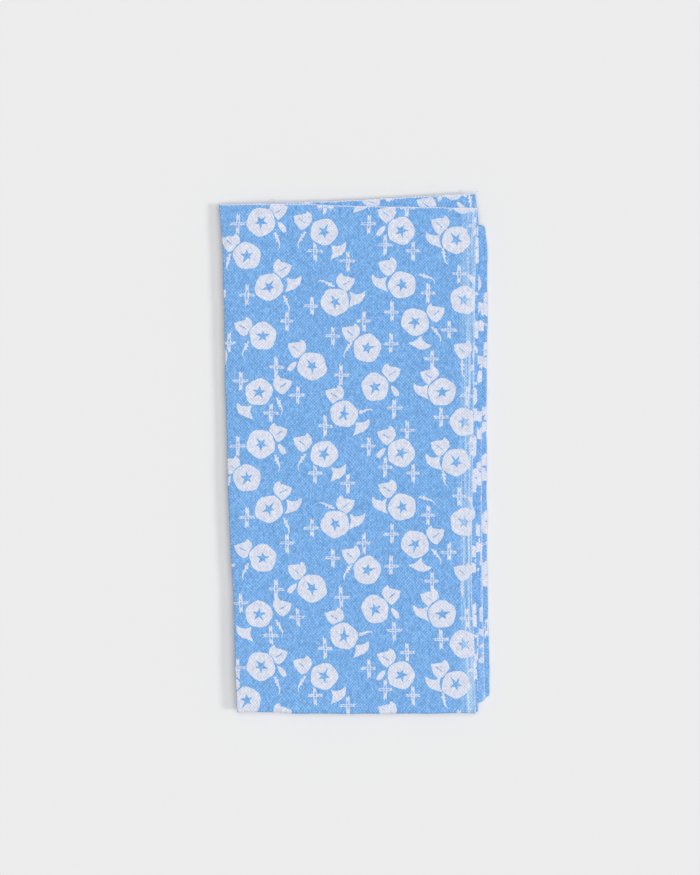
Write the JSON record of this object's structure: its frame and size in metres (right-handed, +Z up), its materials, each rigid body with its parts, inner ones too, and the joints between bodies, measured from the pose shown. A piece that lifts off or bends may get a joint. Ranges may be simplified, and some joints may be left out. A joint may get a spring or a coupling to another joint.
{
  "type": "folded tenugui towel",
  "caption": "Thin plain-weave cotton hand towel, folded in thirds and then back and forth, printed with white morning glories on sky blue.",
  "frame": {"origin": "Middle of the towel's footprint, on the surface it lies on.", "axes": "+Y runs along the folded towel towards its raw end, +X is the side where the lower layers show, +Z is up through the stack of layers."},
  "size_m": [0.1248, 0.2396, 0.0077],
  "materials": {
    "printed_cotton": "matte plain-weave cotton, dyed sky blue with undyed white motifs"
  },
  "bodies": {
    "root": {"towel": "printed_cotton"}
  },
  "joints": []
}
